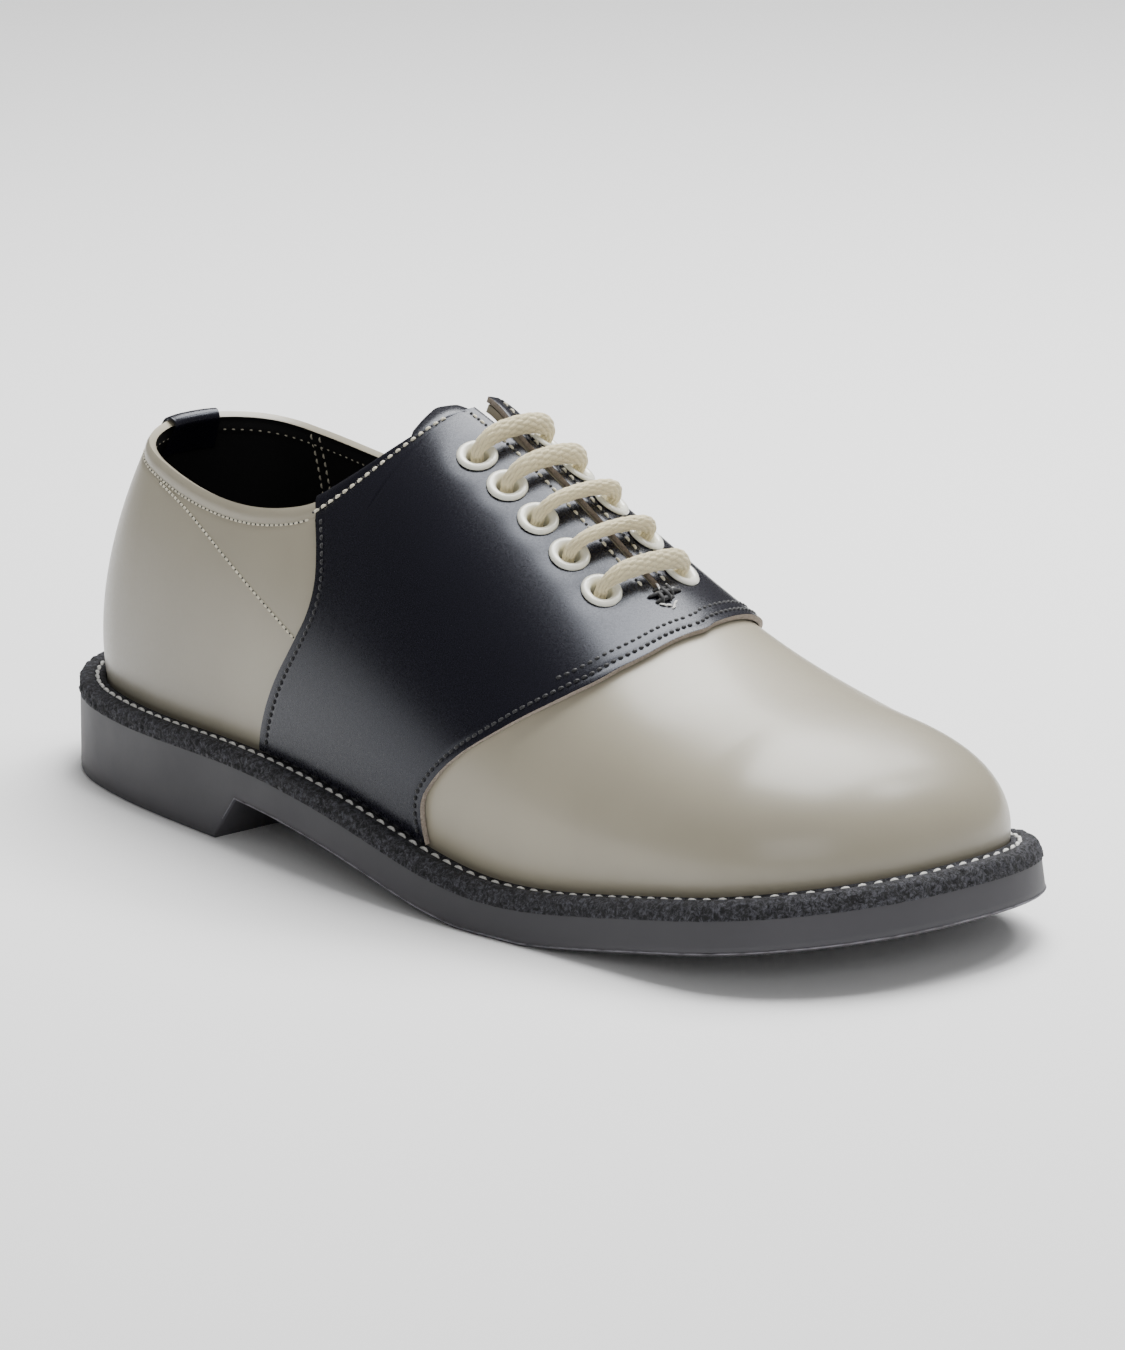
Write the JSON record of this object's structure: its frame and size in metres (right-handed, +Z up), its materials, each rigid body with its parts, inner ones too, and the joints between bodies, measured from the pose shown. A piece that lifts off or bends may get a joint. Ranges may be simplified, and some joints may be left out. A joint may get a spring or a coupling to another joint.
{
  "type": "saddle shoe",
  "caption": "Low lace-up saddle shoe for a right foot: hollow smooth leather upper with a dark saddle over the instep, straight-bar lacing, stitched welt and rubber sole with heel.",
  "frame": {"origin": "on the floor, at the centre of the shoe's bounding box", "axes": "+Z up from the floor; the toe points along -Y and the heel along +Y; the little-toe side is at -X and the big-toe side at +X"},
  "size_m": [0.1171, 0.306, 0.1147],
  "materials": {
    "greige_leather": "smooth full-grain leather, satin",
    "black_leather": "smooth corrected-grain leather, glossy, near-black navy",
    "black_lining": "soft matt lining leather",
    "black_welt_leather": "dyed welting leather with a rough fibrous cut edge",
    "black_rubber": "smooth moulded rubber, matt dark grey",
    "ivory_enamel": "ivory enamel on pressed metal",
    "oatmeal_cotton": "round-braided cotton, oatmeal"
  },
  "bodies": {
    "root": {"outsole": "black_rubber", "welt": "black_welt_leather", "insole": "black_lining", "upper": "greige_leather", "saddle": "black_leather", "tongue": "black_lining", "heel_tab": "black_leather", "lace": "oatmeal_cotton", "eyelet_lateral_1": "ivory_enamel", "eyelet_lateral_2": "ivory_enamel", "eyelet_lateral_3": "ivory_enamel", "eyelet_lateral_4": "ivory_enamel", "eyelet_lateral_5": "ivory_enamel", "eyelet_medial_1": "ivory_enamel", "eyelet_medial_2": "ivory_enamel", "eyelet_medial_3": "ivory_enamel", "eyelet_medial_4": "ivory_enamel", "eyelet_medial_5": "ivory_enamel"}
  },
  "joints": []
}
